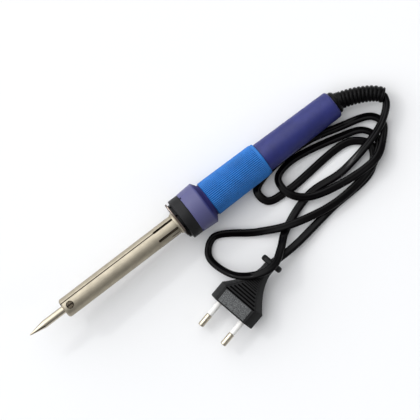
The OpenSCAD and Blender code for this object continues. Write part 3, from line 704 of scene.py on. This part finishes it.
def flange_shape():
    bore = BARREL_R - STEP + GAP
    neck_r = BARREL_R + 0.5 + NECK_L
    neck = [(neck_r - NECK_L * math.sin(q), FLANGE - NECK_L + NECK_L * math.cos(q))
            for q in np.linspace(0, math.pi / 2, 8)]
    rings = [round_ring(bore, RING), round_ring(bore + 0.6, RING)]
    rings += [lobed_ring(inset, u) for inset, u in (
        (0.12, RING), (0, RING - 0.12), (0, FLANGE + 0.3), (0.1, FLANGE + 0.09), (0.3, FLANGE))]
    rings += [round_ring(r, u) for r, u in neck]
    rings += [round_ring(BARREL_R + 0.3, FLANGE - NECK_L - 0.02),
              round_ring(bore, FLANGE - NECK_L + 0.1)]
    return skin(rings, loop=True)


HEAD_R, SHANK_R = 2.5, 1.4   # of the countersinks for the flange screws
sink = revolve([(0, FLANGE - 1), (HEAD_R, FLANGE - 1), (HEAD_R, FLANGE), (SHANK_R, RING),
                (SHANK_R, RING + 1), (0, RING + 1)], 48)
flange = mesh_object("flange_plate", in_place(flange_shape()), plate_steel_look.mat)
# Painted shade: the countersinks take the dark steel
carved(flange, [in_place(c) for c in on_lobes(sink)], recess_shade_look.mat)
banded(flange, barrel_look, FLANGE - 2 * NECK_L, FLANGE - 0.1)
placed(flange, nodes=["flange_plate"])

HUB_R, HUB_H, LUGS, LUG_GAP = 12.0, 1.8, 9, 1.4
SPIGOT_R, SPIGOT_L, HOLE_R = 11.5, 2.0, 1.35
hub_in = LIP_R + 0.3
ring_end = RING_BACK - 0.1
ring_profile = eased([(hub_in, RING), (HUB_R, RING), (HUB_R, RING + HUB_H), (RING_R, RING + HUB_H),
                      (RING_R, ring_end), (SPIGOT_R, ring_end), (SPIGOT_R, RING_BACK + SPIGOT_L),
                      (hub_in, RING_BACK + SPIGOT_L)], 0.45, 4, loop=True)
front_ring = mesh_object("front_ring", in_place(revolve(ring_profile, 144, loop=True)), ring_look.mat)
lug_gap = box((LIP_R + 1.2, -LUG_GAP / 2, RING - 1),
              (LIP_R + 11.2, LUG_GAP / 2, RING + HUB_H - 0.4), 0.12, 2)
screw_hole = revolve([(0, RING - 1), (HOLE_R, RING - 1), (HOLE_R, RING_BACK + 5),
                      (0, RING_BACK + 5)], 32)
gaps = [turned_about(lug_gap, LOBE_AT + (i + 0.5) * 360 / LUGS) for i in range(LUGS)]
carved(front_ring, [in_place(c) for c in gaps + on_lobes(screw_hole)], ring_look.mat)
# Painted shade: the hub's faces between the flange and the ring take the near-black plastic
banded(front_ring, hub_shade_look, RING - 0.1, RING + HUB_H - 0.05)
placed(front_ring, nodes=["front_ring"])

# ---- Handle and grip ---------------------------------------------------------------------------
WIRE_BORE, CAVITY_R, END_HOLE_R, END_WALL = 5.5, 7.4, 6.2, 5.75
RECESS_R, RECESS_L = SPIGOT_R + 0.1, SPIGOT_L + 0.1
BEVEL_R, GROOVE_R = 11.95, 11.2  # the bevel's small end, and the groove between it and the grip
LATCH_AT, LATCH_W, LATCH_L = -50.0, 2.0, 1.1


def handle_shape():
    """The moulding, turned in one closed outline, outside and in."""
    outer = [(WIRE_BORE, RING_BACK + RECESS_L), (RECESS_R, RING_BACK + RECESS_L), (RECESS_R, RING_BACK),
             (RING_R + 0.1, RING_BACK), (RIM_R, RIM), (BEVEL_R, NECK), (GROOVE_R, NECK),
             (GROOVE_R, GRIP - 0.1), (SEAT_R, GRIP - 0.1), (SEAT_R, SHOULDER - 0.2),
             (HANDLE_R, SHOULDER - 0.2)]
    outer += [(END_R - END_ROUND + END_ROUND * math.cos(a), END - END_ROUND + END_ROUND * math.sin(a))
              for a in np.linspace(0, math.pi / 2, 9)]
    inner = [(END_HOLE_R, END), (END_HOLE_R, END - END_WALL), (CAVITY_R, END - END_WALL),
             (CAVITY_R, RING_BACK + 15), (WIRE_BORE, RING_BACK + 13)]
    profile = eased(outer + inner, 0.3, 4, loop=True)
    return revolve(profile, 192, loop=True)


handle = mesh_object("handle", in_place(handle_shape()), handle_look.mat)
latch = box((RING_R - 1, -LATCH_W / 2, RING_BACK - 1),
            (RING_R + 3, LATCH_W / 2, RING_BACK + LATCH_L), 0.15, 2)
carved(handle, [in_place(turned_about(latch, LATCH_AT + i * 120)) for i in range(3)], handle_look.mat)
# Painted shade: the bevel behind the rim takes the duller copy of the purple
banded(handle, bevel_painted_shade_look, RIM + 0.2, GRIP - 0.2)
placed(handle, nodes=["handle"])

RIBS, RIB_H, PER_RIB, RIB_RINGS = 60, 0.4, 8, 60
GRIP_TAPER, PLAIN_L, RIM_ROUND = 0.5, 1.5, 0.45
START_RINGS = (0, 0.12, 0.3, 0.6)


def grip_shape():
    """Fine ribs run along the sleeve and die out before its plain rear band."""
    count = RIBS * PER_RIB
    theta = np.arange(count) * 2 * math.pi / count
    wave = 0.5 - 0.5 * np.cos(2 * math.pi * (np.arange(count) % PER_RIB) / PER_RIB)
    wave = np.minimum(1, wave * 1.5)
    end_rings = GRIP_L - np.array([1.8, PLAIN_L, 0.6, 0.3, 0.1, 0])
    stations = np.concatenate([START_RINGS, np.linspace(1, GRIP_L - 2.2, RIB_RINGS), end_rings])
    out = []
    for s in stations:
        r = GRIP_R - GRIP_TAPER * s / GRIP_L
        ease = min(1, s / 0.6, max(0, (GRIP_L - PLAIN_L - s) / 0.7))
        near_end = 1 - min(1, s / 0.5, (GRIP_L - s) / 0.5)
        edge = RIM_ROUND * (1 - math.sqrt(1 - near_end ** 2))
        out.append(ring_of(r - RIB_H - edge + RIB_H * wave * ease, theta, GRIP + s))
    out += [ring_of(SEAT_R + GAP, theta, GRIP + s) for s in (GRIP_L, 0)]
    return skin(out, loop=True)


grip = piece("grip_sleeve", in_place(grip_shape()), grip_look,
             nodes=["grip_sleeve"], sharp=70)
# Painted shade: the faces at the bottom of each groove get a darker blue
groove_shade_slot = len(grip.data.materials)
grip.data.materials.append(grip_groove_shade_look.mat)
for face in grip.data.polygons:
    ring_at, place = divmod(face.index, RIBS * PER_RIB)
    if 1 < ring_at < RIB_RINGS + len(START_RINGS) - 1 and place % PER_RIB in (0, PER_RIB - 1):
        face.material_index = groove_shade_slot

# ---- Plug ------------------------------------------------------------------------------------
PLUG_FACE = (-11.5, -64.8)
PLUG_YAW, PLUG_PITCH, PLUG_ROLL = 192.6, 2.0, 10.0
PLUG_W, PLUG_H, STRAIGHT, TAPER, BEVEL = 33.6, 13.7, 11.0, 24.0, 0.67
NECK_W, NECK_H = 8.0, 7.0
FACE_ROUND, CORNER_ROUND = 0.8, 0.7
BODY_L, WING_W, WING_L = 38.6, 15.0, 3.8
WING_BACK, WING_R, WING_ROUND, WING_SIDES = BODY_L + 2.9, 4.0, 1.6, 64
LABEL_BACK, LABEL_FRONT, LABEL_W, LABEL_H = 9.7, 1.0, 20.7, 0.25
GROOVE_START, GROOVES, COARSE = LABEL_BACK + 0.25, 19, 5
COARSE_GROOVE, FINE_GROOVE = (1.05, 2.0, 0.9), (0.6, 1.25, 0.65)  # width, pitch and depth
PIN_PITCH, PIN_R, PIN_L, SLEEVE_L = 18.6, 2.0, 19.0, 9.9
PIN_BACK, PIN_CORE_R, SLEEVE_BACK, SLEEVE_R = 13.0, 1.4, 3.0, 1.84
INSERT_H, INSERT_W, INSERT_L = 7.1, 24.1, 9.55


def narrowing(s):
    return 1 - min(max((s - STRAIGHT) / TAPER, 0), 1)


def plug_width(s):
    return NECK_W + (PLUG_W - NECK_W) * narrowing(s) ** 1.8


def plug_height(s):
    return NECK_H + (PLUG_H - NECK_H) * narrowing(s) ** 1.2


def plug_flat(s):
    return plug_width(s) - BEVEL * plug_height(s)


ROLL, PITCH = math.radians(PLUG_ROLL), math.radians(PLUG_PITCH)
PLUG_Z = math.cos(PITCH) * (math.cos(ROLL) * PLUG_H / 2 + math.sin(ROLL) * plug_flat(0) / 2)
PLUG_TURN = np.array((Matrix.Rotation(math.radians(PLUG_YAW), 3, "Z")
                      @ Matrix.Rotation(math.radians(90 + PLUG_PITCH), 3, "Y")
                      @ Matrix.Rotation(math.radians(180 + PLUG_ROLL), 3, "Z")))


def plug(points):
    """Points drawn with +Z along the pins and +X upwards, placed in the row frame."""
    return np.asarray(points, float) @ PLUG_TURN.T + np.array([*PLUG_FACE, PLUG_Z])


def plug_section(s, inset):
    """Outline of the body at a distance behind the face, as (height, side)."""
    w, fl, h = plug_width(s) / 2 - inset, plug_flat(s) / 2 - inset * 0.6, plug_height(s) / 2 - inset
    corners = [(0, w), (h, fl), (h, -fl), (0, -w), (-h, -fl), (-h, fl)]
    return eased(corners, CORNER_ROUND, 4, loop=True)


def plug_shape():
    stations = [0, 0.06, 0.2, 0.45, 0.8] + list(np.arange(1.5, BODY_L, 0.5)) + [BODY_L]
    out = []
    for s in stations:
        inset = FACE_ROUND - math.sqrt(FACE_ROUND ** 2 - max(0, FACE_ROUND - s) ** 2)
        sec = plug_section(s, inset)
        out.append(np.column_stack([sec, np.full(len(sec), -s)]))
    return skin(out)


def wings():
    """Flange at the body's rear, rounded all round."""
    a = np.linspace(0, 2 * math.pi, WING_SIDES, endpoint=False)
    out = []
    for q in np.linspace(0, math.pi, 15):
        r = WING_R - WING_ROUND * (1 - math.sin(q) ** 0.6)
        y = r * np.cos(a) + np.sign(np.cos(a)) * (WING_W / 2 - WING_R)
        z = WING_L * (1 - math.cos(q)) / 2 - WING_BACK
        out.append(np.column_stack([r * np.sin(a), y, np.full(WING_SIDES, z)]))
    return skin(out)


def groove_cuts():
    """Coarse grooves behind the label plate, then fine ones down to the neck."""
    cuts = []
    s = GROOVE_START
    for i in range(GROOVES):
        wide, pitch, deep = COARSE_GROOVE if i < COARSE else FINE_GROOVE
        half = plug_flat(s + wide) / 2 - 0.55
        top = plug_height(s + wide / 2) / 2
        for side in (1, -1):
            lo, hi = sorted((side * (top - deep), side * (top + 2)))
            cuts.append(box((lo, -half, -s - wide), (hi, half, -s), 0.2, 2))
        s += pitch
    return cuts


def on_plug(shape):
    return plug(shape[0]), shape[1]


def on_pins(profile, loop=False):
    """A turned form once on each pin's axis."""
    v, f = revolve(profile, 48, loop)
    return on_plug(joined([(v + np.array([0, side * PIN_PITCH / 2, 0]), f) for side in (-1, 1)]))


plug_body = mesh_object("plug_body", on_plug(joined([plug_shape(), wings()])), plug_look.mat)
pocket = box((-INSERT_H / 2, -INSERT_W / 2, -INSERT_L), (INSERT_H / 2, INSERT_W / 2, 1.0), 0.05, 1)
carved(plug_body, [on_plug(pocket)], plug_look.mat)
# Painted shade: the faces cut by the grooves take the near-black plastic
carved(plug_body, [on_plug(c) for c in groove_cuts()], plug_groove_shade_look.mat)
placed(plug_body, nodes=["plug_body"])
label_plate = box((PLUG_H / 2 - 1, -LABEL_W / 2, -LABEL_BACK),
                  (PLUG_H / 2 + LABEL_H, LABEL_W / 2, -LABEL_FRONT), 0.2)
label = piece("plug_label_plate", on_plug(label_plate), plate_look, nodes=["plug_body"])

pin_step = SLEEVE_L + 0.25  # the pin is thinner behind this, under its sleeve
pin_profile = eased([(0, -PIN_BACK), (PIN_CORE_R, -PIN_BACK), (PIN_CORE_R, pin_step), (PIN_R, pin_step),
                     (PIN_R, PIN_L), (0, PIN_L)], 0.9)
sleeve_in = PIN_CORE_R + GAP
sleeve_profile = eased([(sleeve_in, -SLEEVE_BACK), (SLEEVE_R, -SLEEVE_BACK), (SLEEVE_R, SLEEVE_L),
                        (sleeve_in, SLEEVE_L)], 0.08, 2, loop=True)
plug_pins = piece("plug_pins", on_pins(pin_profile), pin_look, nodes=["plug_pins"])
pin_sleeves = piece("pin_sleeves", on_pins(sleeve_profile, loop=True), sleeve_look,
                    nodes=["pin_sleeves"])

# ---- Floor and light -------------------------------------------------------------------------
FLOOR = 3.0                 # metres from the middle to each side
floor_mesh = bpy.data.meshes.new("floor")
floor_mesh.from_pydata([(-FLOOR, -FLOOR, 0), (FLOOR, -FLOOR, 0), (FLOOR, FLOOR, 0), (-FLOOR, FLOOR, 0)],
                       [], [(0, 1, 2, 3)])
floor = bpy.data.objects.new("floor", floor_mesh)
bpy.context.collection.objects.link(floor)
floor_look = Look("floor_white", (0.84, 0.84, 0.84), 0.8)
floor_mesh.materials.append(floor_look.mat)


def area_light(name, at, size, power):
    """A square lamp that looks at the origin."""
    data = bpy.data.lights.new(name, "AREA")
    data.size, data.energy = size, power
    obj = bpy.data.objects.new(name, data)
    bpy.context.collection.objects.link(obj)
    obj.location = at
    obj.rotation_mode = "QUATERNION"
    obj.rotation_quaternion = (-Vector(at)).to_track_quat("-Z", "Y")


# Each: the side it lies on, how squarely that is faced at its edges, and its levels there
BRIGHT_SIDE = (-0.35, 0.75, 0.62), (0.33, 0.97), (0.4, 2.55)
DARK_FLAG = (-0.42, -0.78, 0.42), (0.9, 0.96), (1.0, 0.03)


def studio_sky():
    """A soft surround that brightens smoothly towards one side, with one dark flag in it."""
    world = bpy.data.worlds.new("studio")
    world.use_nodes = True
    tree = world.node_tree
    back = tree.nodes["Background"]
    back.inputs["Color"].default_value = (0.97, 0.98, 1.0, 1)
    coords = tree.nodes.new("ShaderNodeTexCoord")
    both = tree.nodes.new("ShaderNodeMath")
    both.operation = "MULTIPLY"
    for slot, (side, edges, levels) in enumerate((BRIGHT_SIDE, DARK_FLAG)):
        facing = tree.nodes.new("ShaderNodeVectorMath")
        facing.operation = "DOT_PRODUCT"
        facing.inputs[1].default_value = Vector(side).normalized()
        tree.links.new(coords.outputs["Generated"], facing.inputs[0])
        ramp = tree.nodes.new("ShaderNodeMapRange")
        ramp.interpolation_type = "SMOOTHSTEP"
        for key, value in zip(("From Min", "From Max", "To Min", "To Max"), edges + levels):
            ramp.inputs[key].default_value = value
        tree.links.new(facing.outputs["Value"], ramp.inputs["Value"])
        tree.links.new(ramp.outputs["Result"], both.inputs[slot])
    tree.links.new(both.outputs["Value"], back.inputs["Strength"])
    bpy.context.scene.world = world


studio_sky()
area_light("key", (-0.5, 1.3, 1.3), 0.14, 4)
area_light("rim", (1.1, -1.2, 1.0), 0.14, 1.2)
bpy.context.scene.view_settings.view_transform = "Standard"
